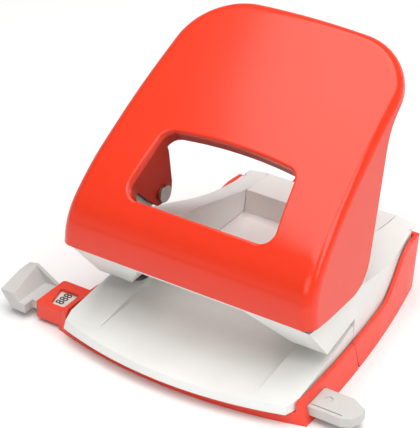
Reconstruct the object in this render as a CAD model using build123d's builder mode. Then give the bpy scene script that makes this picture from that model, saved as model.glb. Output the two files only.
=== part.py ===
"""Two-hole desk punch for sheets up to A4, in millimetres.

+X runs along the row of punches, +Y to the rear and +Z up. The origin lies on the
table, below the midpoint of the two punch axes.
"""

import math
import os

from build123d import *

os.makedirs("parts", exist_ok=True)

# ---------------------------------------------------------------- driving dimensions
HOLE_SPACING = 80.0  # between the two punch axes
HOLE_SETBACK = 12.0  # from a punch axis back to the stop that the sheet meets
PUNCH_DIA = 5.5
RUNNING = 0.05  # radial clearance of a shaft in its hole
FAR = 90.0  # reaches past the whole object

PUNCH_X = HOLE_SPACING / 2

# Red base: a bowed front, sides that draw in towards the rear, in two heights
BASE_LOW = {"z": 0.0, "front": 55.0, "mid": 50.0, "rear": 41.7, "rear_y": 68.6}
BASE_HIGH = {"z": 23.0, "front": 50.4, "mid": 46.0, "rear": 41.5, "rear_y": 73.0}
FRONT_CORNER_Y = -31.5
FRONT_MID_Y = -39.4
MID_Y = 27.0
RED_WALL = 1.6
RED_FLOOR = 1.8
LIP_Z = 5.1  # top of the low front wall
RIM_Z = 10.0  # top of the side walls
SEAM_Y = 9.5  # where the chip tray starts behind the base
SEAM_GAP = 0.3

# Grey deck that the sheet slides over
DECK_FRONT_Z = 8.6
DECK_FRONT_Y = -33.0  # the raised platforms start here
PLATFORM_SLOPE = math.tan(math.radians(9.5))
TROUGH_SLOPE = math.tan(math.radians(3.0))
TROUGH_HALF = 35.0
DECK_WALL = 1.4

# Grey body
BODY_WALL = 2.0
BODY_BOTTOM = 5.0
VALLEY_HALF = 29.5
VALLEY_FLOOR = 16.6
VALLEY_REAR_Y = 59.0
CHIN_TOP = (-27.3, 36.9)
CHIN_LOW = (-10.9, 17.3)
SLOT_ROOF_REAR_Z = 19.5

# Handle, pivoted at the front and pressing on the punches behind the pivot
HANDLE_SHEET = 1.2
# the front face's curve from its lower edge to its top: corners (y, z) and how far each is rounded
FACE_LOW = (-29.6, 38.1)
FACE_BENDS = [(-29.6, 49.9, 26.0), (-15.7, 66.5, 88.0), (13.2, 87.1, 250.0)]
FACE_TOP = (58.0, 111.4)
TOP_WALL = 6.5
TOP_BOW_R = 340.0  # the top edge is slightly bowed
WALL_REF = (-28.1, 38.1)  # the side walls are WALL_HALF out at this y and z
WALL_HALF = 54.6
WALL_TAPER_Y = 0.03
WALL_TAPER_Z = 0.083
PIVOT = (-16.5, 50.0)
PIVOT_DIA = 5.0
DRIVE_PIN = (3.1, 51.1)
DRIVE_PIN_DIA = 5.6
EAR_X = 30.6  # face of the handle's ear that the pin's head rests on

# Guide bar that slides along X
BAR_FRONT_Y = -28.7
BAR_REAR_Y = -15.7
BAR_LOW = 3.2
BAR_TOP = 6.8
BAR_PLAY = 0.35
BAR_RIGHT_X = 72.0
FENCE_X = -72.5

# Chip tray hinge
TRAY_HINGE = (17.6, 2.8)

# Rubber pads let into the underside, and the screws that hold the punch frames
PAD_R = 5.0
PAD_DEPTH = 1.0
FRONT_PADS = [(-42.0, -25.0), (42.0, -25.0)]
REAR_PADS = [(-30.0, 58.0), (30.0, 58.0)]
SCREW_PLACE = (41.2, 7.2)
SCREW_R = 1.2
SCREW_HEAD_R = 2.2
SCREW_HEAD_LOW = 0.4
SCREW_HEAD = 1.4
FRAME_FLOOR = 7.9
FRAME_FLOOR_TOP = 9.9
BOSS_R = 2.6


# ---------------------------------------------------------------- shared outlines
def side_profile(points):
    """A closed outline of (y, z) points, on the plane of symmetry."""
    with BuildSketch(Plane.YZ) as profile:
        with BuildLine():
            Polyline(*points, close=True)
        make_face()
    return profile.sketch


def plate(points, x_low, width, holes=()):
    """A flat plate square to X from (y, z) points, with holes at (y, z, radius)."""
    with BuildPart() as flat:
        with BuildSketch(Plane.YZ.offset(x_low)):
            with BuildLine():
                Polyline(*points, close=True)
            make_face()
            for y, z, radius in holes:
                with Locations((y, z)):
                    Circle(radius, mode=Mode.SUBTRACT)
        extrude(amount=width)
    return flat.part


def disc(centre, radius, x_low, width):
    """A round piece on an axis along X through the (y, z) centre."""
    with BuildPart() as round_piece:
        with BuildSketch(Plane.YZ.offset(x_low)):
            with Locations(centre):
                Circle(radius)
        extrude(amount=width)
    return round_piece.part


def base_plan(level, inset):
    """The base seen from above at one of its two heights, drawn in by inset."""
    with BuildSketch(Plane.XY.offset(level["z"])) as plan:
        with BuildLine():
            front = ThreePointArc(
                (-level["front"], FRONT_CORNER_Y), (0, FRONT_MID_Y), (level["front"], FRONT_CORNER_Y)
            )
            side = ThreePointArc(front @ 1, (level["mid"], MID_Y), (level["rear"], level["rear_y"]))
            rear = Line(side @ 1, (-level["rear"], level["rear_y"]))
            ThreePointArc(rear @ 1, (-level["mid"], MID_Y), front @ 0)
        make_face()
        if inset:
            offset(amount=-inset, kind=Kind.INTERSECTION)
    return plan.sketch


def red_hull(inset, floor=0.0):
    """The solid between the base's two plans, above a floor height."""
    with BuildPart() as hull:
        loft(sections=[base_plan(BASE_LOW, inset), base_plan(BASE_HIGH, inset)])
        if floor:
            split(bisect_by=Plane.XY.offset(floor))
    return hull.part


def both_sides(x):
    """The same distance to the left and to the right."""
    return (-x, x)


def platform_z(y):
    """Height of the deck's raised platforms."""
    return DECK_FRONT_Z + (y - DECK_FRONT_Y) * PLATFORM_SLOPE


def trough_z(y):
    """Height of the trough between the platforms."""
    return DECK_FRONT_Z + (y - DECK_FRONT_Y) * TROUGH_SLOPE


# ---------------------------------------------------------------- red base shell
CHANNEL_LOW = BAR_LOW - BAR_PLAY
CHANNEL_TOP = BAR_TOP + BAR_PLAY
CHANNEL_FRONT = BAR_FRONT_Y - BAR_PLAY
CHANNEL_REAR = BAR_REAR_Y + BAR_PLAY
CHANNEL_MID_Y = (CHANNEL_FRONT + CHANNEL_REAR) / 2
BRACKET_LEFT_X = -66.0
BRACKET_RIGHT_X = -51.5
BRACKET_TOP = 8.4
BRACKET_LOW = 1.8
FRONT_STEP_Y = -31.4  # the low front wall has risen to the side walls' height here
FLOOR_REAR_Y = 14.2
FLOOR_HALF = 46.5
NOSE_PASSAGE_HALF = 50.8

with BuildPart() as base_shell:
    add(red_hull(0))
    front_part = side_profile(
        [
            (-FAR, 0),
            (SEAM_Y, 0),
            (SEAM_Y, RIM_Z),
            (FRONT_STEP_Y, RIM_Z),
            (FRONT_STEP_Y - 2.0, LIP_Z),
            (-FAR, LIP_Z),
        ]
    )
    extrude(to_extrude=front_part, amount=FAR, both=True, mode=Mode.INTERSECT)
    add(red_hull(RED_WALL, RED_FLOOR), mode=Mode.SUBTRACT)
    with Locations((0, (FLOOR_REAR_Y + SEAM_Y) / 2 - 1.0, RED_FLOOR / 2)):
        Box(2 * FLOOR_HALF, FLOOR_REAR_Y - SEAM_Y + 2.0, RED_FLOOR)
    # the deck's nose passes over the front wall, between the two side walls
    with Locations((0, -30.0 - FAR / 2, LIP_Z + FAR / 2)):
        Box(2 * NOSE_PASSAGE_HALF, FAR, FAR, mode=Mode.SUBTRACT)
    bracket_x = (BRACKET_LEFT_X + BRACKET_RIGHT_X) / 2
    with BuildSketch(Plane.XY.offset(BRACKET_LOW)):
        with Locations((bracket_x, CHANNEL_MID_Y)):
            RectangleRounded(BRACKET_RIGHT_X - BRACKET_LEFT_X, CHANNEL_REAR - CHANNEL_FRONT + 4.4, 1.2)
    extrude(amount=BRACKET_TOP - BRACKET_LOW)
    with Locations((0, CHANNEL_MID_Y, (CHANNEL_LOW + CHANNEL_TOP) / 2)):
        Box(2 * FAR, CHANNEL_REAR - CHANNEL_FRONT, CHANNEL_TOP - CHANNEL_LOW, mode=Mode.SUBTRACT)
    with BuildSketch(Plane.XY.offset(CHANNEL_TOP)):
        with BuildLine():
            Polyline((-63.6, -18.2), (-60.8, -28.4), (-54.6, -28.4), (-54.6, -18.2), close=True)
        make_face()
        fillet(vertices(), radius=1.0)
    extrude(amount=BRACKET_TOP, mode=Mode.SUBTRACT)
    with BuildSketch(Plane.XY):
        with Locations(*FRONT_PADS):
            Circle(PAD_R)
    extrude(amount=PAD_DEPTH, mode=Mode.SUBTRACT)
    for x in both_sides(SCREW_PLACE[0]):
        with BuildSketch(Plane.XY):
            with Locations((x, SCREW_PLACE[1])):
                Circle(BOSS_R)
        extrude(amount=FRAME_FLOOR)
        with Locations((x, SCREW_PLACE[1])):
            with Locations((0, 0, FRAME_FLOOR / 2)):
                Cylinder(SCREW_R, FRAME_FLOOR, mode=Mode.SUBTRACT)
            with Locations((0, 0, (SCREW_HEAD_LOW + SCREW_HEAD) / 2)):
                Cylinder(SCREW_HEAD_R, SCREW_HEAD_LOW + SCREW_HEAD, mode=Mode.SUBTRACT)
base_shell.part.label = "base_shell"
export_step(base_shell.part, "parts/base_shell.step")

# ---------------------------------------------------------------- red chip tray
LATCH_HALF = 19.0
LATCH_TOP = 29.0
TRAY_Y = SEAM_Y + SEAM_GAP
HINGE_PIN_DIA = 2.4
HINGE_KNUCKLE_R = 2.6
TRAY_EAR_X = 36.0
EAR_WIDTH = 3.0
LUG_X = 32.2
LUG_WIDTH = 3.2
TRAY_FLOOR_Y = 16.0

with BuildSketch(Plane.YZ) as tray_side:
    with BuildLine():
        Line((TRAY_Y, 0), (TRAY_Y, RIM_Z))
        Line((TRAY_Y, RIM_Z), (35.0, RIM_Z))
        Spline((35.0, RIM_Z), (49.5, 14.4), (58.0, 19.6), (66.0, 22.3), tangents=[(1, 0), (1, 0.2)])
        Polyline((66.0, 22.3), (FAR, 23.0), (FAR, 0), (TRAY_Y, 0))
    make_face()

with BuildPart() as chip_tray:
    add(red_hull(0))
    extrude(to_extrude=tray_side.sketch, amount=FAR, both=True, mode=Mode.INTERSECT)
    add(red_hull(RED_WALL, RED_FLOOR), mode=Mode.SUBTRACT)
    # the lower front edge is set back, so that it clears the base as the tray turns
    tray_front = side_profile([(0, -1.0), (TRAY_Y + 0.8, -1.0), (TRAY_Y + 0.8, 0), (TRAY_Y, 3.0), (0, 3.0)])
    extrude(to_extrude=tray_front, amount=FAR, both=True, mode=Mode.SUBTRACT)
    with Locations((0, TRAY_FLOOR_Y - 20.0, 0)):
        Box(2 * FLOOR_HALF + 1.0, 40.0, 2 * RED_FLOOR + 1.0, mode=Mode.SUBTRACT)
    latch_side = side_profile(
        [
            (71.4, 19.5), (72.3, 19.5), (74.3, 20.5), (78.3, 22.4), (78.6, LATCH_TOP),
            (76.8, LATCH_TOP), (76.4, 23.1), (71.4, 22.9),
        ]
    )
    with BuildSketch(Plane.XZ.offset(-68.0)) as latch_front:
        with BuildLine():
            Polyline(
                (-LATCH_HALF, 0), (LATCH_HALF, 0), (LATCH_HALF, 24.0), (LATCH_HALF - 3.0, LATCH_TOP),
                (3.0 - LATCH_HALF, LATCH_TOP), (-LATCH_HALF, 24.0), close=True,
            )
        make_face()
    with BuildPart(mode=Mode.PRIVATE) as latch_tab:
        extrude(to_extrude=latch_side, amount=LATCH_HALF, both=True)
        extrude(to_extrude=latch_front.sketch, amount=20, both=True, mode=Mode.INTERSECT)
    add(latch_tab.part)
    # notches round the lugs of the body
    for x in both_sides(LUG_X):
        with Locations((x, TRAY_HINGE[0], 2.0)):
            Box(LUG_WIDTH + 1.4, 2 * HINGE_KNUCKLE_R + 1.0, 8.0, mode=Mode.SUBTRACT)
    for x in both_sides(TRAY_EAR_X):
        add(disc(TRAY_HINGE, HINGE_KNUCKLE_R, x - EAR_WIDTH / 2, EAR_WIDTH))
        with Locations((x, TRAY_HINGE[0], RED_FLOOR)):
            Box(EAR_WIDTH, 2 * HINGE_KNUCKLE_R, 2.0)
        add(disc(TRAY_HINGE, HINGE_PIN_DIA / 2, x - EAR_WIDTH / 2, EAR_WIDTH), mode=Mode.SUBTRACT)
    with BuildSketch(Plane.XY):
        with Locations(*REAR_PADS):
            Circle(PAD_R)
    extrude(amount=PAD_DEPTH, mode=Mode.SUBTRACT)
chip_tray.part.label = "chip_tray"
export_step(chip_tray.part, "parts/chip_tray.step")

# The tray turns on two short pins, each held in a lug under the grey body
with BuildPart() as tray_hinge_pins:
    pin_inner = LUG_X - LUG_WIDTH / 2
    pin_outer = TRAY_EAR_X + EAR_WIDTH / 2
    for x in both_sides((pin_inner + pin_outer) / 2):
        pin_low = x - (pin_outer - pin_inner) / 2
        add(disc(TRAY_HINGE, HINGE_PIN_DIA / 2 - RUNNING, pin_low, pin_outer - pin_inner))
tray_hinge_pins.part.label = "tray_hinge_pins"
export_step(tray_hinge_pins.part, "parts/tray_hinge_pins.step")

# ---------------------------------------------------------------- grey deck plate
DECK_LOW = 5.4
DIE_DIA = 9.4

NOSE_LEAN = 1.3 / 2.8  # the front edge of the deck leans back as it rises
DECK_BLANK_TOP = 18.0


def deck_plan(z):
    """The deck seen from above, with its bowed nose set back as z grows."""
    back = (z - DECK_LOW) * NOSE_LEAN
    with BuildSketch(Plane.XY.offset(z)) as plan:
        with BuildLine():
            bow = ThreePointArc((-48.9, back - 36.2), (0, back - 43.9), (48.9, back - 36.2))
            corner = Line(bow @ 1, (50.4, back - 31.0))
            side = ThreePointArc(corner @ 1, (49.7, -12.0), (47.9, HOLE_SETBACK))
            rear = Line(side @ 1, (-47.9, HOLE_SETBACK))
            left = ThreePointArc(rear @ 1, (-49.7, -12.0), (-50.4, back - 31.0))
            Line(left @ 1, bow @ 0)
        make_face()
    return plan.sketch


with BuildPart() as deck_plate:
    loft(sections=[deck_plan(DECK_LOW), deck_plan(DECK_BLANK_TOP)])
    wedge = side_profile(
        [
            (-FAR, DECK_LOW),
            (-31.0, DECK_LOW),
            (-30.0, trough_z(-30.0) - DECK_WALL),
            (HOLE_SETBACK, trough_z(HOLE_SETBACK) - DECK_WALL),
            (HOLE_SETBACK, platform_z(HOLE_SETBACK)),
            (DECK_FRONT_Y, DECK_FRONT_Z),
            (-FAR, trough_z(-FAR)),
        ]
    )
    extrude(to_extrude=wedge, amount=FAR, both=True, mode=Mode.INTERSECT)
    above_trough = side_profile(
        [(DECK_FRONT_Y, DECK_FRONT_Z), (FAR, trough_z(FAR)), (FAR, FAR), (DECK_FRONT_Y, FAR)]
    )
    extrude(to_extrude=above_trough, amount=TROUGH_HALF, both=True, mode=Mode.SUBTRACT)
    under_platform = side_profile(
        [
            (-27.0, 0),
            (-27.0, platform_z(-27.0) - DECK_WALL),
            (HOLE_SETBACK + 1, platform_z(HOLE_SETBACK + 1) - DECK_WALL),
            (HOLE_SETBACK + 1, 0),
        ]
    )
    pocket_half = 46.4 - TROUGH_HALF - DECK_WALL
    for x in both_sides((46.4 + TROUGH_HALF + DECK_WALL) / 2):
        with BuildPart(mode=Mode.PRIVATE) as pocket:
            with Locations((x, 0, 0)):
                Box(pocket_half, FAR, FAR)
            extrude(to_extrude=under_platform, amount=FAR, both=True, mode=Mode.INTERSECT)
        add(pocket.part, mode=Mode.SUBTRACT)
    with Locations((-PUNCH_X, 0), (PUNCH_X, 0)):
        Hole(DIE_DIA / 2 + 0.1)
deck_plate.part.label = "deck_plate"
export_step(deck_plate.part, "parts/deck_plate.step")

# ---------------------------------------------------------------- grey body cover
# Half-sections along Y: (y, inner edge z, soft edge x, soft edge z, rim x)
BODY_STATIONS = [
    (-32.0, 38.2, 50.9, 36.8, 50.4),
    (0.0, 36.8, 50.2, 34.0, 49.3),
    (20.0, 35.0, 48.2, 31.0, 47.1),
    (40.0, 30.4, 45.0, 25.4, 44.3),
    (58.0, 26.2, 41.2, 22.8, 40.9),
    (75.8, 25.2, 38.6, 23.9, 38.4),
]
BODY_REAR_LIP_Z = 23.6  # the top overhangs the chip tray's rear wall above this height
BODY_REAR = [(65.6, -5.0), (71.1, BODY_REAR_LIP_Z), (FAR, BODY_REAR_LIP_Z), (FAR, -5.0)]


def body_hull(inset):
    """The body's outer form between its stations, drawn in by inset."""
    with BuildPart() as hull:
        sections = []
        for y, inner_z, soft_x, soft_z, rim_x in BODY_STATIONS:
            low = BODY_BOTTOM - 2 * inset
            half = [
                (rim_x - inset, low),
                (rim_x - inset, RIM_Z),
                (soft_x - inset, soft_z - inset),
                (VALLEY_HALF, inner_z - inset),
            ]
            mirrored = [(-x, z) for x, z in reversed(half)]
            shift = inset if y == BODY_STATIONS[-1][0] else 0.0
            with BuildSketch(Plane.XZ.offset(shift - y)) as section:
                with BuildLine():
                    Polyline(*half, *mirrored, close=True)
                make_face()
            sections.append(section.sketch)
        loft(sections=sections)
    return hull.part


def front_clearance(shift):
    """The space in front of the chin and of the paper slot, as a side outline."""
    with BuildSketch(Plane.YZ) as space:
        with BuildLine():
            Polyline(
                (-FAR, -FAR),
                (HOLE_SETBACK, -FAR),
                (HOLE_SETBACK, SLOT_ROOF_REAR_Z),
                CHIN_LOW,
                CHIN_TOP,
                (CHIN_TOP[0], FAR),
                (-FAR, FAR),
                close=True,
            )
        make_face()
        if shift:
            offset(amount=shift, kind=Kind.INTERSECTION)
    return space.sketch


def throat(grow):
    """The open mouth between the two towers, as a front outline."""
    with BuildSketch(Plane.XZ) as mouth:
        with BuildLine():
            Polyline(
                (-TROUGH_HALF - grow, 0), (TROUGH_HALF + grow, 0), (TROUGH_HALF + grow, 17.6),
                (23.0 + grow, 33.4 + grow), (-23.0 - grow, 33.4 + grow), (-TROUGH_HALF - grow, 17.6),
                close=True,
            )
        make_face()
    return mouth.sketch


THROAT_REAR_Y = HOLE_SETBACK - 1.0
LINTEL_Y = -21.0  # rear of the strip that joins the towers across the front

MOUTH_SHIFT = Location((0, THROAT_REAR_Y - FAR, 0))
LINTEL_HALF = 23.0

with BuildPart() as body_void:
    add(body_hull(BODY_WALL))
    extrude(to_extrude=front_clearance(BODY_WALL), amount=FAR, both=True, mode=Mode.SUBTRACT)
    wide_mouth = extrude(to_extrude=throat(BODY_WALL), amount=FAR, both=True, mode=Mode.PRIVATE)
    add(wide_mouth.moved(MOUTH_SHIFT * Location((0, BODY_WALL, 0))), mode=Mode.SUBTRACT)
    Box(2 * (VALLEY_HALF + BODY_WALL), 3 * FAR, 3 * FAR, mode=Mode.SUBTRACT)
    rear_wall = side_profile([(y - BODY_WALL, z + (BODY_WALL if z > 0 else 0)) for y, z in BODY_REAR])
    extrude(to_extrude=rear_wall, amount=FAR, both=True, mode=Mode.SUBTRACT)

with BuildPart() as body_cover:
    add(body_hull(0.0))
    extrude(to_extrude=front_clearance(0.0), amount=FAR, both=True, mode=Mode.SUBTRACT)
    extrude(to_extrude=side_profile(BODY_REAR), amount=FAR, both=True, mode=Mode.SUBTRACT)
    mouth = extrude(to_extrude=throat(0.0), amount=FAR, both=True, mode=Mode.PRIVATE)
    add(mouth.moved(MOUTH_SHIFT), mode=Mode.SUBTRACT)
    add(body_void.part, mode=Mode.SUBTRACT)
    # open roof between the towers, behind the lintel
    with Locations((0, (LINTEL_Y + THROAT_REAR_Y) / 2, 40.0)):
        Box(2 * LINTEL_HALF, THROAT_REAR_Y - LINTEL_Y, 30.0, mode=Mode.SUBTRACT)
    # the valley is open for the centre cover, behind the wall that closes the throat
    valley_front = THROAT_REAR_Y + BODY_WALL
    with Locations((0, (valley_front + FAR) / 2, 0)):
        Box(2 * VALLEY_HALF, FAR - valley_front, 3 * FAR, mode=Mode.SUBTRACT)
    # roof openings for the steel cheeks and the punch caps
    roof_side = side_profile([(8.5, 25.0), (-14.6, 25.0), (-22.0, 34.0), (-22.5, 55.0), (8.5, 55.0)])
    roof_cut = extrude(to_extrude=roof_side, amount=6.8, both=True, mode=Mode.PRIVATE)
    add(roof_cut.moved(Location((-PUNCH_X - 0.2, 0, 0))), mode=Mode.SUBTRACT)
    add(roof_cut.moved(Location((PUNCH_X + 0.2, 0, 0))), mode=Mode.SUBTRACT)
    with Locations((-PUNCH_X, 0), (PUNCH_X, 0)):
        Hole(4.0)
    # the frames' lower legs pass under the wall that stops the sheet
    with Locations((-PUNCH_X - 0.4, HOLE_SETBACK + 1.0, 4.0), (PUNCH_X + 0.4, HOLE_SETBACK + 1.0, 4.0)):
        Box(11.8, 6.0, 12.4, mode=Mode.SUBTRACT)
    # the lower corners stay clear of the tray's floor as it swings
    for x in both_sides(FLOOR_HALF + 10.0):
        with Locations((x, HOLE_SETBACK, 4.0)):
            Box(20.0, 9.6, 11.2, mode=Mode.SUBTRACT)
    # lugs that hold the tray's hinge pins
    for x in both_sides(LUG_X):
        add(disc(TRAY_HINGE, HINGE_KNUCKLE_R, x - LUG_WIDTH / 2, LUG_WIDTH))
        with Locations((x, TRAY_HINGE[0], TRAY_HINGE[1] + 8.0)):
            Box(LUG_WIDTH, 2 * HINGE_KNUCKLE_R, 16.0)
        add(disc(TRAY_HINGE, HINGE_PIN_DIA / 2 - RUNNING, x - 5.0, 10.0), mode=Mode.SUBTRACT)
body_cover.part.label = "body_cover"
export_step(body_cover.part, "parts/body_cover.step")

# ---------------------------------------------------------------- grey centre cover
COVER_PLAY = 0.2
COVER_FRONT_Y = THROAT_REAR_Y + BODY_WALL + COVER_PLAY
COVER_SHEET = 1.6
PLATEAU_Z = 25.4
COVER_REAR_Y = 75.8
COVER_HALF = VALLEY_HALF - COVER_PLAY

with BuildPart() as centre_cover:
    cover_side = side_profile(
        [
            (COVER_FRONT_Y, VALLEY_FLOOR - COVER_SHEET),
            (COVER_FRONT_Y, VALLEY_FLOOR),
            (VALLEY_REAR_Y - 1.5, VALLEY_FLOOR),
            (VALLEY_REAR_Y, PLATEAU_Z + 0.4),
            (COVER_REAR_Y, PLATEAU_Z - 0.3),
            (COVER_REAR_Y, BODY_REAR_LIP_Z),
            (71.1, BODY_REAR_LIP_Z),
            (69.4, 16.0),
            (67.8, 16.0),
            (69.5, PLATEAU_Z - COVER_SHEET - 0.3),
            (VALLEY_REAR_Y + COVER_SHEET, PLATEAU_Z - COVER_SHEET + 0.2),
            (VALLEY_REAR_Y + COVER_SHEET - 1.5, VALLEY_FLOOR - COVER_SHEET),
        ]
    )
    extrude(to_extrude=cover_side, amount=COVER_HALF, both=True)
centre_cover.part.label = "centre_cover"
export_step(centre_cover.part, "parts/centre_cover.step")

# ---------------------------------------------------------------- handle
def behind(point, angle, depth, along=0.0):
    """A point moved square to a face that rises at angle, and along it."""
    y = point[0] + depth * math.sin(angle) + along * math.cos(angle)
    z = point[1] - depth * math.cos(angle) + along * math.sin(angle)
    return (y, z)


FACE_CORNERS = [FACE_LOW, *[bend[:2] for bend in FACE_BENDS], FACE_TOP]
FACE_SLOPES = [
    math.atan2(high[1] - low[1], high[0] - low[0]) for low, high in zip(FACE_CORNERS, FACE_CORNERS[1:])
]
LOW_ANGLE = FACE_SLOPES[0]
TOP_ANGLE = FACE_SLOPES[-1]
HOOD_REAR_LOW = (9.8, 37.0)
HOOD_FRONT_LOW = (-16.0, 37.2)
HOOD_BACK = behind(FACE_TOP, TOP_ANGLE, TOP_WALL)
HOOD_REAR_HIGH = (32.2, 90.3)
OPEN_REACH = 12.0  # how far the inner form runs past the open rear and bottom


def face_bends(inset):
    """The bends of the front face, moved square to the face by inset."""
    bends = []
    for (y, z, radius), before, after in zip(FACE_BENDS, FACE_SLOPES, FACE_SLOPES[1:]):
        turn = (before - after) / 2
        bends.append((behind((y, z), before - turn, inset / math.cos(turn)), radius - inset))
    return bends


def hood_outline(inset):
    """The handle's side outline, or with an inset the space inside it."""
    bends = face_bends(inset)
    if inset:
        low = behind(FACE_LOW, LOW_ANGLE, inset, -OPEN_REACH)
        top = behind(FACE_TOP, TOP_ANGLE, inset, -inset)
        rest = [behind(top, TOP_ANGLE, TOP_WALL + OPEN_REACH), (64.0, 60.0), (20.0, 20.0)]
    else:
        low = FACE_LOW
        top = FACE_TOP
        rest = [HOOD_BACK, HOOD_REAR_HIGH, HOOD_REAR_LOW, HOOD_FRONT_LOW]
    with BuildSketch(Plane.YZ) as outline:
        with BuildLine():
            Polyline(low, *[bend for bend, radius in bends], top, *rest, close=True)
        make_face()
        for bend, radius in bends:
            fillet(vertices().sort_by_distance((*bend, 0))[0], radius=radius)
        if not inset:
            fillet(vertices().sort_by_distance((*HOOD_REAR_LOW, 0))[0], radius=15.0)
            fillet(vertices().sort_by_distance((*HOOD_REAR_HIGH, 0))[0], radius=25.0)
    return outline.sketch


CORNER_R = 26.5
CREASE_R = 5.0


def beyond_top(inset):
    """What lies beyond the bowed top edge, seen square to the top of the face."""
    top = behind(FACE_TOP, TOP_ANGLE, 0.0, -inset)
    facing = (0, -math.sin(TOP_ANGLE), math.cos(TOP_ANGLE))
    with BuildSketch(Plane(origin=(0, *top), x_dir=(1, 0, 0), z_dir=facing)) as beyond:
        Rectangle(2 * FAR, 40.0)
        with Locations((0, -TOP_BOW_R)):
            Circle(TOP_BOW_R, mode=Mode.SUBTRACT)
    return beyond.sketch


def hood(inset):
    """The handle's outer form, or with an inset its inside."""
    normal = Vector(1, WALL_TAPER_Y, WALL_TAPER_Z).normalized()
    reach = WALL_HALF - inset / normal.X
    top_direction = Vector(0, math.sin(TOP_ANGLE), -math.cos(TOP_ANGLE))
    outline = hood_outline(inset)
    with BuildPart() as form:
        extrude(to_extrude=outline, amount=FAR, both=True)
        for side in (-1, 1):
            wall = Plane(
                origin=(side * reach, *WALL_REF), x_dir=(0, 1, 0), z_dir=(side * normal.X, normal.Y, normal.Z)
            )
            split(bisect_by=wall, keep=Keep.BOTTOM)
        extrude(to_extrude=beyond_top(inset), amount=FAR / 2, both=True, mode=Mode.SUBTRACT)
        corners = [
            edge
            for edge in form.edges()
            if abs(edge.tangent_at(0.5).dot(top_direction)) > 0.9
            and edge.center().Z > 90
            and abs(edge.center().X) > 30
        ]
        fillet(corners, radius=CORNER_R - inset)
        front_faces = [
            face
            for face in form.faces()
            if abs(face.normal_at().X) < 0.01 and face.normal_at().Y < -0.3 and face.normal_at().Z > -0.1
        ]
        front = [
            edge
            for face in front_faces
            for edge in face.edges()
            if abs(edge.tangent_at(0.5).X) < 0.99 or edge.center().Z > 100
        ]
        fillet(front, radius=CREASE_R - inset)
    return form.part


# A straight line along the middle of the face, which the window is square to
WINDOW_SLOPE = math.radians(38.5)
WINDOW_ORIGIN = (-10.6, 67.9)

WINDOW_LOW = -12.0
WINDOW_HIGH = 17.1
WINDOW_LOW_HALF = 32.0
WINDOW_HIGH_HALF = 28.3
WINDOW_R = 5.6
WINDOW_BOW = 2.2  # the upper edge rises towards its middle
FOLD_R = 0.9
RIM_DEPTH = 7.0
WINDOW_PLANE = Plane(
    origin=(0, *WINDOW_ORIGIN),
    x_dir=(1, 0, 0),
    z_dir=(0, -math.sin(WINDOW_SLOPE), math.cos(WINDOW_SLOPE)),
)


def window_outline(grow):
    """The window's outline, widened by grow."""
    with BuildSketch(WINDOW_PLANE) as opening:
        with BuildLine():
            Polyline(
                (-WINDOW_HIGH_HALF, WINDOW_HIGH),
                (-WINDOW_LOW_HALF, WINDOW_LOW),
                (WINDOW_LOW_HALF, WINDOW_LOW),
                (WINDOW_HIGH_HALF, WINDOW_HIGH),
            )
            ThreePointArc(
                (WINDOW_HIGH_HALF, WINDOW_HIGH), (0, WINDOW_HIGH + WINDOW_BOW), (-WINDOW_HIGH_HALF, WINDOW_HIGH)
            )
        make_face()
        fillet(vertices(), radius=WINDOW_R)
        if grow:
            offset(amount=grow, kind=Kind.ARC)
    return opening.sketch


# The window's edge turns inwards all round, and at both sides it runs on as an ear
EAR_OUTLINE = [(-13.0, 66.0), (-12.2, 59.0), (-1.5, 48.0), (0.6, 46.4), (4.4, 46.3), (8.2, 49.5),
               (8.2, 54.0), (5.2, 68.5), (2.0, 76.0)]
rim_band = side_profile(
    [
        behind(WINDOW_ORIGIN, WINDOW_SLOPE, -12.0, -40.0),
        behind(WINDOW_ORIGIN, WINDOW_SLOPE, -12.0, 40.0),
        behind(WINDOW_ORIGIN, WINDOW_SLOPE, RIM_DEPTH, 40.0),
        behind(WINDOW_ORIGIN, WINDOW_SLOPE, RIM_DEPTH, -40.0),
    ]
)
outer_hood = hood(0.0)

with BuildPart() as window_rim:
    extrude(to_extrude=window_outline(HANDLE_SHEET), amount=FAR / 2, both=True)
    extrude(to_extrude=window_outline(0.0), amount=FAR / 2, both=True, mode=Mode.SUBTRACT)
    with BuildPart(mode=Mode.PRIVATE) as rim_limit:
        extrude(to_extrude=rim_band, amount=FAR, both=True)
        extrude(to_extrude=side_profile(EAR_OUTLINE), amount=FAR, both=True)
        add(outer_hood, mode=Mode.INTERSECT)
    add(rim_limit.part, mode=Mode.INTERSECT)

with BuildPart() as handle_shell:
    add(outer_hood)
    add(hood(HANDLE_SHEET), mode=Mode.SUBTRACT)
    extrude(to_extrude=window_outline(0.0), amount=FAR / 2, both=True, mode=Mode.SUBTRACT)
    add(window_rim.part)
    fold = [
        edge
        for edge in handle_shell.edges()
        if abs(edge.center().X) < WINDOW_LOW_HALF + 0.5
        and 58.0 < edge.center().Z < 84.0
        and Vertex(edge @ 0.5).distance_to(outer_hood) < 0.001
        and Vertex(edge @ 0.5).distance_to(outer_hood.faces().sort_by(Axis.X)[0]) > 10.0
    ]
    fillet(fold, radius=FOLD_R)
    with BuildSketch(Plane.YZ):
        with Locations(DRIVE_PIN):
            Circle(DRIVE_PIN_DIA / 2)
    extrude(amount=40.0, both=True, mode=Mode.SUBTRACT)
handle_shell.part.label = "handle_shell"
export_step(handle_shell.part, "parts/handle_shell.step")

# ---------------------------------------------------------------- lever bracket
LEVER_X = 33.3  # inner face of each lever plate
LEVER_SHEET = 1.1
STRAP_SHEET = 1.5

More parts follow.
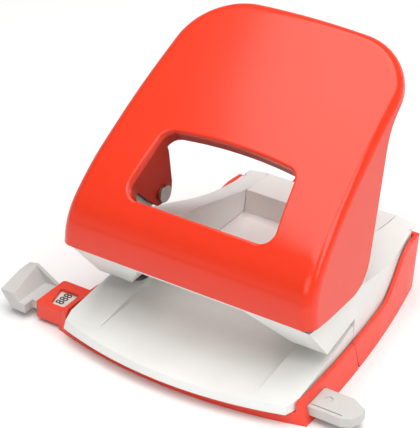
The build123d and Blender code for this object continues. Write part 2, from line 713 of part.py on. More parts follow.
STRAP_LOW = 0.6  # distances up the front face, from its lower edge
STRAP_HIGH = 5.0
STRAP_BACK = HANDLE_SHEET + 0.25  # leaves room for the face's curve
STRAP = [
    behind(FACE_LOW, LOW_ANGLE, STRAP_BACK, STRAP_LOW),
    behind(FACE_LOW, LOW_ANGLE, STRAP_BACK, STRAP_HIGH),
    behind(FACE_LOW, LOW_ANGLE, STRAP_BACK + STRAP_SHEET, STRAP_HIGH),
    behind(FACE_LOW, LOW_ANGLE, STRAP_BACK + STRAP_SHEET, STRAP_LOW),
]
LEVER_SIDE = [
    STRAP[0], STRAP[1], (-21.3, 50.0), (-15.0, 56.0), (1.0, 56.5), (7.6, 54.0), (7.6, 48.2), (1.0, 46.2),
    (-14.0, 45.0),
]
LEVER_HOLES = [(*PIVOT, PIVOT_DIA / 2 + RUNNING), (*DRIVE_PIN, DRIVE_PIN_DIA / 2)]

with BuildPart() as lever_bracket:
    for x in both_sides(LEVER_X + LEVER_SHEET / 2):
        add(plate(LEVER_SIDE, x - LEVER_SHEET / 2, LEVER_SHEET, LEVER_HOLES))
    add(plate(STRAP, -LEVER_X - LEVER_SHEET / 2, 2 * LEVER_X + LEVER_SHEET))
lever_bracket.part.label = "lever_bracket"
export_step(lever_bracket.part, "parts/lever_bracket.step")

# ---------------------------------------------------------------- pivot axle and clips
AXLE_HALF = 48.0
CLIP_X = 46.9
CLIP_R = 3.5

with BuildPart() as pivot_axle:
    add(disc(PIVOT, PIVOT_DIA / 2, -AXLE_HALF, 2 * AXLE_HALF))
    chamfer(edges().filter_by(GeomType.CIRCLE), length=0.5)
pivot_axle.part.label = "pivot_axle"
export_step(pivot_axle.part, "parts/pivot_axle.step")

with BuildPart() as axle_clips:
    for x in both_sides(CLIP_X):
        add(disc(PIVOT, CLIP_R, x - 0.4, 0.8))
        add(disc(PIVOT, PIVOT_DIA / 2, x - 0.4, 0.8), mode=Mode.SUBTRACT)
axle_clips.part.label = "axle_clips"
export_step(axle_clips.part, "parts/axle_clips.step")

# ---------------------------------------------------------------- punching units
FRAME_SHEET = 1.0
WEB_HALF = 44.6
FRAME_INNER = PUNCH_X - 5.3
FRAME_OUTER = PUNCH_X + 6.0
FRAME_REAR = HOLE_SETBACK + BODY_WALL + 2.8
GUIDE_LOW = 21.8
GUIDE_TOP = 23.8
PUNCH_REST_Z = 18.8
CAP_LOW = 45.6
CAP_TOP = DRIVE_PIN[1] - DRIVE_PIN_DIA / 2 - 0.15
CAP_DIA = 10.8
SPRING_WIRE = 1.0
SPRING_R = 3.7
SPRING_TURNS = 7
BUSH_R = 3.6
CHIP_HOLE_R = 3.1  # the chips drop through the frame's floor
PIN_HEAD_DIA = 6.8
PIN_END_X = 45.8


FRAME_WEB = [
    (-7.6, FRAME_FLOOR), (FRAME_REAR, FRAME_FLOOR), (FRAME_REAR, GUIDE_TOP), (-10.0, GUIDE_TOP),
    (-10.0, GUIDE_LOW), (FRAME_REAR - 2.0, GUIDE_LOW), (FRAME_REAR - 2.0, FRAME_FLOOR_TOP),
    (-7.6, FRAME_FLOOR_TOP),
]
CHEEK = [
    (-10.0, GUIDE_LOW), (6.5, GUIDE_LOW), (6.5, 30.0), (-8.2, 41.0), (-12.4, 52.0), (-16.0, 54.0),
    (-19.6, 52.2), (-20.4, 48.4), (-13.0, 33.0),
]

for name, side in (("left", -1), ("right", 1)):
    axis_x = side * PUNCH_X
    inner_x = side * FRAME_INNER
    outer_x = side * FRAME_OUTER

    with BuildPart() as punch_frame:
        # the lower leg is narrower, clear of the deck's trough
        add(plate(FRAME_WEB, min(inner_x, outer_x), FRAME_OUTER - FRAME_INNER))
        with Locations((side * (TROUGH_HALF - 1.4), 0, FRAME_FLOOR)):
            Box(5.6, 26.0, 8.0, mode=Mode.SUBTRACT)
        # the rear web stays clear of the body's side wall
        with Locations((side * (WEB_HALF + FRAME_OUTER), HOLE_SETBACK + 5.0, 15.0)):
            Box(2 * FRAME_OUTER, 10.0, 30.0, mode=Mode.SUBTRACT)
        for cheek_x in (inner_x, outer_x - side * FRAME_SHEET):
            cheek_low = min(cheek_x, cheek_x + side * FRAME_SHEET)
            add(plate(CHEEK, cheek_low, FRAME_SHEET, [(*PIVOT, PIVOT_DIA / 2)]))
        with Locations((axis_x, 0, GUIDE_TOP)):
            Cylinder(BUSH_R, 10.0, mode=Mode.SUBTRACT)
        with Locations((axis_x, 0, FRAME_FLOOR)):
            Cylinder(CHIP_HOLE_R, 10.0, mode=Mode.SUBTRACT)
        with Locations((side * SCREW_PLACE[0], SCREW_PLACE[1], FRAME_FLOOR)):
            Cylinder(SCREW_R, 6.0, mode=Mode.SUBTRACT)
    punch_frame.part.label = f"punch_frame_{name}"
    export_step(punch_frame.part, f"parts/punch_frame_{name}.step")

    # the die sits in the deck, its top flush with the sloping platform
    with BuildPart() as die:
        with BuildSketch(Plane.XY.offset(FRAME_FLOOR_TOP)):
            with Locations((axis_x, 0)):
                Circle(DIE_DIA / 2)
                Circle(PUNCH_DIA / 2 + RUNNING, mode=Mode.SUBTRACT)
        extrude(amount=10.0)
        die_side = side_profile(
            [(-DIE_DIA, 0), (DIE_DIA, 0), (DIE_DIA, platform_z(DIE_DIA)), (-DIE_DIA, platform_z(-DIE_DIA))]
        )
        extrude(to_extrude=die_side, amount=FAR, both=True, mode=Mode.INTERSECT)
    die.part.label = f"die_{name}"
    export_step(die.part, f"parts/die_{name}.step")

    with BuildPart() as guide_bush:
        with BuildSketch(Plane.XY.offset(PUNCH_REST_Z + 2.0)):
            with Locations((axis_x, 0)):
                Circle(BUSH_R)
        extrude(amount=GUIDE_TOP - PUNCH_REST_Z - 2.0)
        with Locations((axis_x, 0, GUIDE_TOP)):
            Cylinder(PUNCH_DIA / 2 + RUNNING, 40.0, mode=Mode.SUBTRACT)
    guide_bush.part.label = f"guide_bush_{name}"
    export_step(guide_bush.part, f"parts/guide_bush_{name}.step")

    # the punch's end is cut to a shallow V, which starts the hole at two points
    with BuildPart() as punch:
        with BuildSketch(Plane.XY.offset(PUNCH_REST_Z)):
            with Locations((axis_x, 0)):
                Circle(PUNCH_DIA / 2)
        extrude(amount=CAP_LOW - PUNCH_REST_Z)
        notch = side_profile([(-3.0, PUNCH_REST_Z - 0.1), (3.0, PUNCH_REST_Z - 0.1), (0, PUNCH_REST_Z + 1.6)])
        extrude(to_extrude=notch, amount=FAR, both=True, mode=Mode.SUBTRACT)
    punch.part.label = f"punch_{name}"
    export_step(punch.part, f"parts/punch_{name}.step")

    with BuildPart() as punch_cap:
        with BuildSketch(Plane.XY.offset(CAP_LOW)):
            with Locations((axis_x, 0)):
                Circle(CAP_DIA / 2)
        extrude(amount=CAP_TOP - CAP_LOW)
        chamfer(edges().group_by(Axis.Z)[-1], length=0.5)
    punch_cap.part.label = f"punch_cap_{name}"
    export_step(punch_cap.part, f"parts/punch_cap_{name}.step")

    spring_low = GUIDE_TOP + SPRING_WIRE / 2 + 0.02
    spring_high = CAP_LOW - SPRING_WIRE / 2 - 0.02
    with BuildPart() as return_spring:
        with BuildLine(mode=Mode.PRIVATE) as coil:
            Helix(
                pitch=(spring_high - spring_low) / SPRING_TURNS,
                height=spring_high - spring_low,
                radius=SPRING_R,
                center=(axis_x, 0, spring_low),
            )
        with BuildSketch(Plane(origin=coil.line @ 0, z_dir=coil.line % 0)):
            Circle(SPRING_WIRE / 2)
        sweep(path=coil.line, is_frenet=True)
    return_spring.part.label = f"return_spring_{name}"
    export_step(return_spring.part, f"parts/return_spring_{name}.step")

    # the drive pin's round head shows on the ear, and its shaft bears on the cap
    with BuildPart() as drive_pin:
        shaft_low = min(side * (EAR_X - 1.2), side * PIN_END_X)
        add(disc(DRIVE_PIN, DRIVE_PIN_DIA / 2, shaft_low, PIN_END_X - EAR_X + 1.2))
        head_low = min(side * (EAR_X - 0.4), side * (EAR_X - 1.7))
        add(disc(DRIVE_PIN, PIN_HEAD_DIA / 2, head_low, 1.3))
    drive_pin.part.label = f"drive_pin_{name}"
    export_step(drive_pin.part, f"parts/drive_pin_{name}.step")

# ---------------------------------------------------------------- guide bar and fence
BAR_MID_Y = (BAR_FRONT_Y + BAR_REAR_Y) / 2
BAR_DEPTH = BAR_REAR_Y - BAR_FRONT_Y
FENCE_LEAN = 4.6
FENCE_TOP_FRONT = 10.0
FENCE_TOP_REAR = 13.0
FENCE_FRONT_Y = -33.4
FENCE_REAR_Y = -14.6
FENCE_CAP = 4.3
LABEL_SHEET = 0.15

with BuildPart() as guide_bar:
    with BuildSketch(Plane.XY.offset(BAR_LOW)):
        with BuildLine():
            Polyline(
                (FENCE_X, BAR_FRONT_Y), (67.0, BAR_FRONT_Y), (70.5, BAR_FRONT_Y + 1.6),
                (BAR_RIGHT_X, BAR_FRONT_Y + 5.5), (BAR_RIGHT_X - 0.6, BAR_REAR_Y - 3.4),
                (65.0, BAR_REAR_Y), (FENCE_X, BAR_REAR_Y), close=True,
            )
        make_face()
        fillet(vertices().group_by(Axis.X)[-1], radius=1.5)
    extrude(amount=BAR_TOP - BAR_LOW)
    # a dimple and a slit near the right end
    with Locations((57.5, BAR_FRONT_Y + 7.6, BAR_TOP)):
        Cylinder(1.7, 0.8, mode=Mode.SUBTRACT)
    with Locations((60.0, BAR_FRONT_Y + 1.9, BAR_TOP)):
        Box(13.0, 0.5, 1.6, mode=Mode.SUBTRACT)
    # detent notches under the bar, one for each sheet format
    with Locations(*[(x, BAR_MID_Y, BAR_LOW) for x in (2.0, 16.0, 30.0, 44.0)]):
        Box(1.6, 6.0, 0.9, mode=Mode.SUBTRACT)
    # the fence leans outwards and carries a broad rounded cap
    fence_front = [
        (FENCE_X, BAR_LOW), (FENCE_X + 3.0, BAR_LOW), (FENCE_X + 3.0, BAR_TOP), (FENCE_X, BAR_TOP),
        (FENCE_X - FENCE_LEAN, FENCE_TOP_REAR), (FENCE_X - FENCE_LEAN - FENCE_CAP, FENCE_TOP_REAR - 1.0),
        (FENCE_X - FENCE_LEAN - FENCE_CAP + 0.6, FENCE_TOP_REAR - 3.4), (FENCE_X - 3.4, BAR_LOW),
    ]
    with BuildPart(mode=Mode.PRIVATE) as fence:
        with BuildSketch(Plane.XZ.offset(-FENCE_REAR_Y)):
            with BuildLine():
                Polyline(*fence_front, close=True)
            make_face()
        extrude(amount=FENCE_REAR_Y - FENCE_FRONT_Y)
        fence_slope = side_profile(
            [
                (FENCE_FRONT_Y, 0), (FENCE_REAR_Y, 0), (FENCE_REAR_Y, FENCE_TOP_REAR),
                (FENCE_FRONT_Y, FENCE_TOP_FRONT),
            ]
        )
        extrude(to_extrude=fence_slope, amount=FAR, both=True, mode=Mode.INTERSECT)
    add(fence.part)
    # a gusset closes the rear of the fence
    with BuildSketch(Plane.XZ.offset(-FENCE_REAR_Y)):
        with BuildLine():
            Polyline(
                (FENCE_X, BAR_LOW), (-66.8, BAR_LOW), (-66.8, BAR_TOP),
                (FENCE_X - FENCE_LEAN, FENCE_TOP_REAR), (FENCE_X - FENCE_LEAN, BAR_TOP), close=True,
            )
        make_face()
    extrude(amount=1.6)
guide_bar.part.label = "guide_bar"
export_step(guide_bar.part, "parts/guide_bar.step")

with BuildPart() as format_label:
    with Locations((-18.0, BAR_MID_Y + 0.2, BAR_TOP + LABEL_SHEET / 2)):
        Box(92.0, BAR_DEPTH - 2.4, LABEL_SHEET)
format_label.part.label = "format_label"
export_step(format_label.part, "parts/format_label.step")

# ---------------------------------------------------------------- small parts in the base
for name, places in (("front", FRONT_PADS), ("rear", REAR_PADS)):
    with BuildPart() as pads:
        with BuildSketch(Plane.XY):
            with Locations(*places):
                Circle(PAD_R)
        extrude(amount=PAD_DEPTH)
    pads.part.label = f"{name}_pads"
    export_step(pads.part, f"parts/{name}_pads.step")

# each frame is drawn down on a boss of the base by a screw from below
with BuildPart() as frame_screws:
    for x in both_sides(SCREW_PLACE[0]):
        with BuildSketch(Plane.XY.offset(SCREW_HEAD_LOW)):
            with Locations((x, SCREW_PLACE[1])):
                Circle(SCREW_HEAD_R)
        extrude(amount=SCREW_HEAD)
        with BuildSketch(Plane.XY.offset(SCREW_HEAD_LOW + SCREW_HEAD)):
            with Locations((x, SCREW_PLACE[1])):
                Circle(SCREW_R)
        extrude(amount=FRAME_FLOOR_TOP - SCREW_HEAD_LOW - SCREW_HEAD)
        with Locations((x, SCREW_PLACE[1], SCREW_HEAD_LOW)):
            Box(0.6, 2 * SCREW_HEAD_R, 1.0, mode=Mode.SUBTRACT)
frame_screws.part.label = "frame_screws"
export_step(frame_screws.part, "parts/frame_screws.step")

with BuildPart() as detent_spring:
    with BuildSketch(Plane.XZ.offset(-BAR_MID_Y - 2.0)):
        with BuildLine():
            Polyline((-12, 1.8), (-12, 2.1), (-3, 2.1), (0.8, 2.75), (1.6, 2.75), (5, 2.1), (5, 1.8), close=True)
        make_face()
    extrude(amount=4.0)
detent_spring.part.label = "detent_spring"
export_step(detent_spring.part, "parts/detent_spring.step")
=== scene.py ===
"""The looks of a two-hole paper punch: enamelled steel handle over a moulded plastic base.

Lengths are in metres, in the parts' own frame: X across the punch, Y to the rear, Z up.
"""

import math

import bpy
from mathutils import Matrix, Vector


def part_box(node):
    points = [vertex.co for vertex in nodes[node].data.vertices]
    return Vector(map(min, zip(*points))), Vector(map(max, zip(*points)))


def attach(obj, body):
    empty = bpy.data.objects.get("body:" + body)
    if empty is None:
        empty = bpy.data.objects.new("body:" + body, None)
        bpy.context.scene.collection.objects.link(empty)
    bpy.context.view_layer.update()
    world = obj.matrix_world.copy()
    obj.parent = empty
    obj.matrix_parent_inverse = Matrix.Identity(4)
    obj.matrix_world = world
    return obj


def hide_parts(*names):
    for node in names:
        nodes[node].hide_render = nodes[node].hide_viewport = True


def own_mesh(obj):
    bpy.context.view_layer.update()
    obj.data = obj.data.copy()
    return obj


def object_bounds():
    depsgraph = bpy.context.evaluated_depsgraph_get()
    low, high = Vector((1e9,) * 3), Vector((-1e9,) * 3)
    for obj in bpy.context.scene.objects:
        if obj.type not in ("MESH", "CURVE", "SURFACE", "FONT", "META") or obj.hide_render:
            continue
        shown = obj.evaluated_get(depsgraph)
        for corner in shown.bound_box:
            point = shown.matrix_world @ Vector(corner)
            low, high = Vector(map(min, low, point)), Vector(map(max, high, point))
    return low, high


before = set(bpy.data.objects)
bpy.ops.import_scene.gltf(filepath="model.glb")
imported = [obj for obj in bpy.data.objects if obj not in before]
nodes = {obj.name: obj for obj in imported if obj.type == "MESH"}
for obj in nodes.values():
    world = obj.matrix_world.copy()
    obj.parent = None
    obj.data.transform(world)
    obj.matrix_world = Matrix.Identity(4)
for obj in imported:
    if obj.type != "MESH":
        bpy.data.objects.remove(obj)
cad_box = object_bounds()


# ------------------------------------------------------------------ material tools
NOISE_RANGE = (0.3, 0.7)  # most of a noise's values lie between these

# Cosines between a surface's own normal and its softened one
SHARP_EDGE = 0.90
FLAT_FACE = 0.995


class Graph:
    """A short way to write a material's nodes."""

    def __init__(self, name):
        self.material = bpy.data.materials.new(name)
        self.material.use_nodes = True
        self.tree = self.material.node_tree
        self.shader = next(n for n in self.tree.nodes if n.type == "BSDF_PRINCIPLED")
        self.position = self.add("ShaderNodeTexCoord").outputs["Object"]

    def add(self, kind, **settings):
        node = self.tree.nodes.new(kind)
        for key, value in settings.items():
            setattr(node, key, value)
        return node

    def join(self, source, target):
        self.tree.links.new(source, target)

    def noise(self, scale, detail=3.0, roughness=0.5, stretch=None):
        """Noise of scale features a metre; stretch scales it along each axis."""
        node = self.add("ShaderNodeTexNoise")
        node.inputs["Scale"].default_value = scale
        node.inputs["Detail"].default_value = detail
        node.inputs["Roughness"].default_value = roughness
        if stretch is None:
            self.join(self.position, node.inputs["Vector"])
        else:
            mapping = self.add("ShaderNodeMapping")
            mapping.inputs["Scale"].default_value = stretch
            self.join(self.position, mapping.inputs["Vector"])
            self.join(mapping.outputs["Vector"], node.inputs["Vector"])
        return node.outputs[0]

    def span(self, value, low, high, to_low, to_high):
        """value taken from low..high to to_low..to_high, and held at both ends."""
        node = self.add("ShaderNodeMapRange")
        self.join(value, node.inputs["Value"])
        ends = {"From Min": low, "From Max": high, "To Min": to_low, "To Max": to_high}
        for key, number in ends.items():
            node.inputs[key].default_value = number
        return node.outputs["Result"]

    def clouds(self, scale, detail=3.0, roughness=0.5):
        """Soft patches of noise from 0 to 1."""
        return self.span(self.noise(scale, detail, roughness), *NOISE_RANGE, 0.0, 1.0)

    def times(self, a, b):
        node = self.add("ShaderNodeMath", operation="MULTIPLY")
        self.join(a, node.inputs[0])
        self.join(b, node.inputs[1])
        return node.outputs[0]

    def blend(self, factor, first, second):
        """A colour between first and second, each a colour or another node's output."""
        node = self.add("ShaderNodeMix", data_type="RGBA")
        self.join(factor, node.inputs["Factor"])
        for socket, colour in ((node.inputs[6], first), (node.inputs[7], second)):
            if isinstance(colour, tuple):
                socket.default_value = (*colour, 1.0)
            else:
                self.join(colour, socket)
        return node.outputs[2]

    def edges(self, radius):
        """(mask that is 1 along sharp edges, normal softened over those edges)."""
        bevel = self.add("ShaderNodeBevel", samples=4)
        bevel.inputs["Radius"].default_value = radius
        surface = self.add("ShaderNodeNewGeometry").outputs["Normal"]
        dot = self.add("ShaderNodeVectorMath", operation="DOT_PRODUCT")
        self.join(bevel.outputs["Normal"], dot.inputs[0])
        self.join(surface, dot.inputs[1])
        mask = self.span(dot.outputs["Value"], SHARP_EDGE, FLAT_FACE, 1.0, 0.0)
        return mask, bevel.outputs["Normal"]

    def bump(self, height, strength, distance, normal=None):
        node = self.add("ShaderNodeBump")
        node.inputs["Strength"].default_value = strength
        node.inputs["Distance"].default_value = distance
        self.join(height, node.inputs["Height"])
        if normal is not None:
            self.join(normal, node.inputs["Normal"])
        return node.outputs["Normal"]

    def along(self, direction, origin):
        """How far a point lies along direction from origin."""
        start = self.add("ShaderNodeVectorMath", operation="SUBTRACT")
        self.join(self.position, start.inputs[0])
        start.inputs[1].default_value = origin
        dot = self.add("ShaderNodeVectorMath", operation="DOT_PRODUCT")
        self.join(start.outputs["Vector"], dot.inputs[0])
        dot.inputs[1].default_value = direction
        return dot.outputs["Value"]

    def off_middle(self):
        """How far a point lies from the punch's middle plane."""
        size = self.add("ShaderNodeMath", operation="ABSOLUTE")
        self.join(self.along((1.0, 0.0, 0.0), (0.0, 0.0, 0.0)), size.inputs[0])
        return size.outputs[0]

    def colour(self, value):
        self.join(value, self.shader.inputs["Base Color"])

    def coat(self, value):
        self.join(value, self.shader.inputs["Coat Weight"])

    def roughness(self, value):
        self.join(value, self.shader.inputs["Roughness"])

    def normal(self, value):
        self.join(value, self.shader.inputs["Normal"])

    def set(self, **sockets):
        for key, value in sockets.items():
            self.shader.inputs[key.replace("_", " ")].default_value = value


def shade(colour, amount):
    """The colour made lighter or darker."""
    return tuple(min(1.0, channel * amount) for channel in colour)


# ------------------------------------------------------------------ materials
# The straight middle of the handle's face, which holds the window
FACE_ANGLE = math.radians(38.5)
FACE_POINT = (0.0, -0.0106, 0.0679)
FACE_NORMAL = (0.0, -math.sin(FACE_ANGLE), math.cos(FACE_ANGLE))
FACE_SLOPE = (0.0, math.cos(FACE_ANGLE), math.sin(FACE_ANGLE))

# Limits of the painted shade and thinner coat on the window's folds, each fading between its two
# values
FOLD_BEHIND = (-0.0022, -0.0012)  # along FACE_NORMAL
FOLD_LOW = (-0.0150, -0.0135)  # along FACE_SLOPE, from here
FOLD_HIGH = (0.0206, 0.0212)  # to here
FOLD_HALF = (0.0328, 0.0335)  # from the middle plane

BARE_RED = (0.95, 0.16, 0.09)  # paint rubbed thin over an edge
BRIGHT_STEEL = (0.85, 0.84, 0.82)
DUST = (0.16, 0.155, 0.15)


def enamel(name, colour):
    """Glossy stoved enamel: faint orange peel; painted shade and a thinner coat on the window's
    inward folds.
    """
    g = Graph(name)
    # Mask of the window's inward folds, where shade is painted into the colour
    behind = g.span(g.along(FACE_NORMAL, FACE_POINT), *FOLD_BEHIND, 1.0, 0.0)
    above = g.span(g.along(FACE_SLOPE, FACE_POINT), *FOLD_LOW, 0.0, 1.0)
    below = g.span(g.along(FACE_SLOPE, FACE_POINT), *FOLD_HIGH, 1.0, 0.0)
    within = g.span(g.off_middle(), *FOLD_HALF, 1.0, 0.0)
    shade_and_thin_coat = g.times(g.times(behind, within), g.times(above, below))

    mask, soft = g.edges(0.0006)
    body = g.blend(g.clouds(28.0), shade(colour, 0.97), shade(colour, 1.03))
    rubbed = g.times(mask, g.span(g.noise(420.0, 4.0, 0.65), 0.48, 0.7, 0.0, 0.55))
    painted = g.blend(rubbed, body, BARE_RED)
    # Painted shade: the window's inward folds take the colour at half brightness, and a thinner
    # coat
    g.colour(g.blend(shade_and_thin_coat, painted, shade(colour, 0.5)))
    g.coat(g.span(shade_and_thin_coat, 0.0, 1.0, 0.8, 0.25))
    g.roughness(g.span(g.noise(260.0, 5.0, 0.7), 0.3, 0.75, 0.36, 0.46))
    g.normal(g.bump(g.noise(420.0, 2.0), 0.035, 0.0003, soft))
    g.set(Coat_Roughness=0.13, Coat_IOR=1.5, Specular_IOR_Level=0.05)
    return g.material


def moulded(name, colour, roughness, *, grain=1500.0, rub=(0.9, 0.9, 0.88)):
    """Moulded plastic: spark-eroded grain, slight flow mottling and polished, rubbed edges."""
    g = Graph(name)
    mask, soft = g.edges(0.00045)
    body = g.blend(g.clouds(22.0, 4.0, 0.6), shade(colour, 0.93), shade(colour, 1.03))
    specks = g.span(g.noise(900.0, 2.0), 0.66, 0.8, 0.0, 0.3)
    body = g.blend(specks, body, shade(colour, 0.8))
    rubbed = g.times(mask, g.span(g.noise(300.0, 4.0, 0.6), 0.4, 0.7, 0.05, 0.5))
    g.colour(g.blend(rubbed, body, rub))
    g.roughness(g.span(g.noise(160.0, 4.0, 0.6), *NOISE_RANGE, *roughness))
    g.normal(g.bump(g.noise(grain, 3.0, 0.6), 0.12, 0.0002, soft))
    g.set(IOR=1.5, Specular_IOR_Level=0.45)
    return g.material


def metal(name, colour, roughness, stretch):
    """Plated or ground steel with drawn lines along one axis and duller patches."""
    g = Graph(name)
    mask, soft = g.edges(0.0003)
    patches = g.span(g.noise(120.0, 4.0, 0.6), 0.35, 0.7, 0.0, 1.0)
    body = g.blend(patches, shade(colour, 0.8), colour)
    rubbed = g.times(mask, g.span(g.noise(700.0), *NOISE_RANGE, 0.0, 0.35))
    g.colour(g.blend(rubbed, body, BRIGHT_STEEL))
    lines = g.noise(900.0, 4.0, 0.65, stretch)
    g.roughness(g.span(lines, *NOISE_RANGE, *roughness))
    g.normal(g.bump(lines, 0.12, 0.0002, soft))
    g.set(Metallic=1.0)
    return g.material


def rubber(name, colour):
    """Matt moulded rubber with a fine pitted skin and a bloom of dust."""
    g = Graph(name)
    g.colour(g.blend(g.span(g.noise(350.0, 5.0, 0.7), 0.5, 0.8, 0.0, 0.35), colour, DUST))
    g.roughness(g.span(g.noise(500.0, 3.0), *NOISE_RANGE, 0.7, 0.92))
    g.normal(g.bump(g.noise(2600.0, 3.0), 0.35, 0.0002))
    g.set(Sheen_Weight=0.15, Sheen_Roughness=0.6)
    return g.material


def card(name, colour):
    """Printed card under clear film: paper fibre and slight yellowing."""
    g = Graph(name)
    g.colour(g.blend(g.clouds(300.0, 5.0, 0.7), shade(colour, 0.9), colour))
    g.roughness(g.span(g.noise(900.0, 3.0), *NOISE_RANGE, 0.32, 0.5))
    g.normal(g.bump(g.noise(2500.0, 4.0, 0.7, (1.0, 0.3, 1.0)), 0.15, 0.0001))
    g.set(Coat_Weight=0.4, Coat_Roughness=0.12)
    return g.material


RED_ENAMEL = enamel("red_enamel", (0.75, 0.037, 0.011))
RED_PLASTIC = moulded(
    "red_plastic", (0.88, 0.060, 0.030), (0.30, 0.42), grain=1100.0, rub=(0.92, 0.14, 0.09)
)
GREY_PLASTIC = moulded("grey_plastic", (0.79, 0.80, 0.775), (0.36, 0.5))
PALE_PLASTIC = moulded("pale_plastic", (0.56, 0.55, 0.53), (0.32, 0.46), grain=1800.0)
ZINC = metal("zinc_steel", (0.46, 0.445, 0.43), (0.26, 0.42), (1.0, 0.15, 0.15))
GROUND = metal("ground_steel", (0.62, 0.61, 0.6), (0.14, 0.26), (0.2, 0.2, 1.0))
DRAWN = metal("drawn_wire", (0.40, 0.39, 0.38), (0.2, 0.34), (1.0, 1.0, 0.3))
RUBBER = rubber("black_rubber", (0.035, 0.034, 0.033))
CARD = card("label_card", (0.75, 0.73, 0.66))
INK = card("label_ink", (0.03, 0.03, 0.035))

# The other nodes are zinc-plated steel
FINISH = {
    "handle_shell": RED_ENAMEL,
    "base_shell": RED_PLASTIC,
    "chip_tray": RED_PLASTIC,
    "deck_plate": GREY_PLASTIC,
    "body_cover": GREY_PLASTIC,
    "centre_cover": GREY_PLASTIC,
    "guide_bar": PALE_PLASTIC,
    "format_label": CARD,
    "front_pads": RUBBER,
    "rear_pads": RUBBER,
    "punch_left": GROUND,
    "punch_right": GROUND,
    "die_left": GROUND,
    "die_right": GROUND,
    "return_spring_left": DRAWN,
    "return_spring_right": DRAWN,
    "detent_spring": DRAWN,
}

for name, node in nodes.items():
    node.data.materials.clear()
    node.data.materials.append(FINISH.get(name, ZINC))


def place(name, data):
    """A new object in the scene."""
    made = bpy.data.objects.new(name, data)
    bpy.context.scene.collection.objects.link(made)
    return made


def new_mesh(name, points, faces):
    mesh = bpy.data.meshes.new(name)
    mesh.from_pydata(points, [], faces)
    mesh.update()
    return place(name, mesh)


# ------------------------------------------------------------------ return springs
WIRE_R = 0.0005
TURNS = 8
CLOSED_TURNS = 1.0  # at each end the wire lies on itself
CLOSED_PITCH = 2.04 * WIRE_R  # just over the wire's thickness
STEPS = 32  # for each turn
SIDES = 12  # round the wire


def coil_heights(rise):
    """The wire's height along the coil: closed ends and an even pitch between them."""
    open_turns = TURNS - 2 * CLOSED_TURNS
    open_pitch = (rise - 2 * CLOSED_TURNS * CLOSED_PITCH) / open_turns
    heights = [0.0]
    for step in range(TURNS * STEPS):
        turn = (step + 0.5) / STEPS
        is_open = CLOSED_TURNS < turn < TURNS - CLOSED_TURNS
        heights.append(heights[-1] + (open_pitch if is_open else CLOSED_PITCH) / STEPS)
    return heights


def wire_rings(foot, radius, heights):
    """Rings of points round the wire, from the coil's foot to its top."""
    x, y, z = foot
    climb = heights[-1] / TURNS / (2 * math.pi)  # for each radian
    points = []
    for step, height in enumerate(heights):
        turn = 2 * math.pi * step / STEPS
        outwards = Vector((math.cos(turn), math.sin(turn), 0.0))
        forwards = Vector((-math.sin(turn) * radius, math.cos(turn) * radius, climb)).normalized()
        across = outwards.cross(forwards)
        centre = Vector((x, y, z + WIRE_R + height)) + outwards * radius
        for corner in range(SIDES):
            angle = 2 * math.pi * corner / SIDES
            points.append(centre + (outwards * math.cos(angle) + across * math.sin(angle)) * WIRE_R)
    return points


def tube_faces(rings):
    """Faces of a closed tube through that many rings of SIDES points."""
    last = rings - 1
    faces = [tuple(range(SIDES)), tuple(last * SIDES + corner for corner in reversed(range(SIDES)))]
    for step in range(last):
        for corner in range(SIDES):
            here = step * SIDES + corner
            beside = step * SIDES + (corner + 1) % SIDES
            faces.append((here, here + SIDES, beside + SIDES, beside))
    return faces


def return_spring(side):
    """A coil spring that stands on the frame."""
    low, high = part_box(f"return_spring_{side}")
    middle = (low + high) / 2
    foot = (middle.x, middle.y, low.z)
    heights = coil_heights(high.z - low.z - 2 * WIRE_R)
    points = wire_rings(foot, (high.x - low.x) / 2 - WIRE_R, heights)
    faces = tube_faces(len(heights))
    spring = new_mesh(f"coil_spring_{side}", points, faces)
    spring.data.polygons.foreach_set("use_smooth", [True] * len(faces))
    spring.data.materials.append(DRAWN)
    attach(spring, "base")
    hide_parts(f"return_spring_{side}")
    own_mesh(spring)


for side in ("left", "right"):
    return_spring(side)

# ------------------------------------------------------------------ print on the format label
PRINT_X = -0.0593  # where the format window shows the label
DIGIT_SIZE = 0.00493
INK_DEPTH = 0.00004
INK_SPREAD = 0.00006  # outwards from each figure's outline
label_low, label_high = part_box("format_label")

figures = bpy.data.curves.new("scale_digits", "FONT")
figures.body = "888"
figures.size = DIGIT_SIZE
figures.extrude = INK_DEPTH
figures.offset = INK_SPREAD
figures.space_character = 1.02
figures.align_x = "CENTER"
figures.align_y = "CENTER"
figures.resolution_u = 6
figures.materials.append(INK)
digits = place("scale_digits", figures)
digits.location = (PRINT_X, (label_low.y + label_high.y) / 2, label_high.z + INK_DEPTH)
digits.rotation_euler = (0.0, 0.0, math.radians(90))
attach(digits, "guide")


# ------------------------------------------------------------------ floor
def pale_floor():
    """Matt white paper."""
    g = Graph("floor_paper")
    g.colour(g.blend(g.clouds(6.0), (0.86, 0.86, 0.86), (0.88, 0.88, 0.88)))
    g.roughness(g.span(g.noise(40.0), *NOISE_RANGE, 0.8, 0.9))
    g.normal(g.bump(g.noise(500.0), 0.05, 0.0003))
    g.set(Specular_IOR_Level=0.2)
    return g.material


FLOOR_REACH = 4.0
FLOOR_Z = cad_box[0][2]
FLOOR_CORNERS = ((-1, -1), (1, -1), (1, 1), (-1, 1))
floor_points = [(x * FLOOR_REACH, y * FLOOR_REACH, FLOOR_Z) for x, y in FLOOR_CORNERS]
floor = new_mesh("floor", floor_points, [(0, 1, 2, 3)])
floor.data.materials.append(pale_floor())

# ------------------------------------------------------------------ light
AIM = Vector((0.0, 0.01, 0.05))


def softbox(name, where, width, height, radiance, tint=(1.0, 1.0, 1.0)):
    """A rectangular light facing the object, given by how bright its face looks."""
    light = bpy.data.lights.new(name, "AREA")
    light.shape = "RECTANGLE"
    light.size = width
    light.size_y = height
    light.energy = radiance * math.pi * width * height
    light.color = tint
    made = place(name, light)
    made.location = where
    made.rotation_euler = (AIM - Vector(where)).to_track_quat("-Z", "Y").to_euler()
    return made


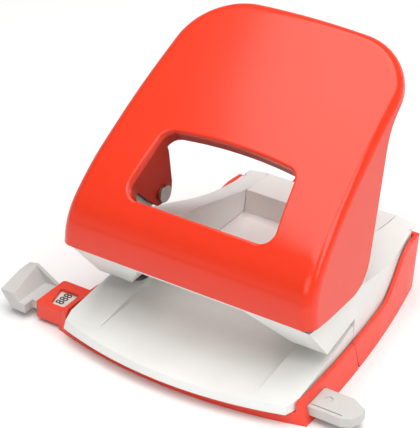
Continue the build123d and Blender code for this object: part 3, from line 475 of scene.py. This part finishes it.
overhead = softbox("overhead", (0.11, -0.02, 0.78), 1.0, 1.15, 2.95, (1.0, 0.995, 0.98))
overhead.rotation_euler = (0.0, 0.0, 0.0)  # straight down
softbox("right", (0.85, -0.05, 0.60), 0.40, 0.5, 3.4)
softbox("front", (0.30, -0.95, 0.62), 0.7, 0.45, 1.8, (1.0, 0.99, 0.975))

# A pale band at the horizon stands for the studio's walls, under a dimmer ceiling
WALL_LIGHT = 0.70
CEILING_LIGHT = 0.18
CEILING_RISE = 0.30  # the sine of the elevation where the ceiling starts

world = bpy.data.worlds.new("studio")
world.use_nodes = True
sky = world.node_tree
background = next(n for n in sky.nodes if n.type == "BACKGROUND")
direction = sky.nodes.new("ShaderNodeTexCoord")
upwards = sky.nodes.new("ShaderNodeSeparateXYZ")
fade = sky.nodes.new("ShaderNodeMapRange")
fade.interpolation_type = "SMOOTHSTEP"
fade.inputs["From Min"].default_value = 0.0
fade.inputs["From Max"].default_value = CEILING_RISE
fade.inputs["To Min"].default_value = WALL_LIGHT
fade.inputs["To Max"].default_value = CEILING_LIGHT
sky.links.new(direction.outputs["Generated"], upwards.inputs["Vector"])
sky.links.new(upwards.outputs["Z"], fade.inputs["Value"])
sky.links.new(fade.outputs["Result"], background.inputs["Strength"])
background.inputs["Color"].default_value = (1.0, 1.0, 1.0, 1.0)

scene = bpy.context.scene
scene.world = world
scene.view_settings.view_transform = "Standard"
scene.view_settings.look = "None"

# ------------------------------------------------------------------ camera
CAMERA_PLACE = (0.35441, -0.53907, 0.44064)
CAMERA_TILT = 30.958  # degrees below the horizon
CAMERA_TURN = 33.853  # degrees round from the front
FOCAL_LENGTH = 174.1  # mm

lens = bpy.data.cameras.new("camera")
lens.lens = FOCAL_LENGTH
lens.sensor_width = 36.0
lens.sensor_fit = "AUTO"
lens.clip_start = 0.01
lens.clip_end = 50.0
camera = place("camera", lens)
camera.location = CAMERA_PLACE
camera.rotation_euler = (math.radians(90 - CAMERA_TILT), 0.0, math.radians(CAMERA_TURN))
scene.camera = camera
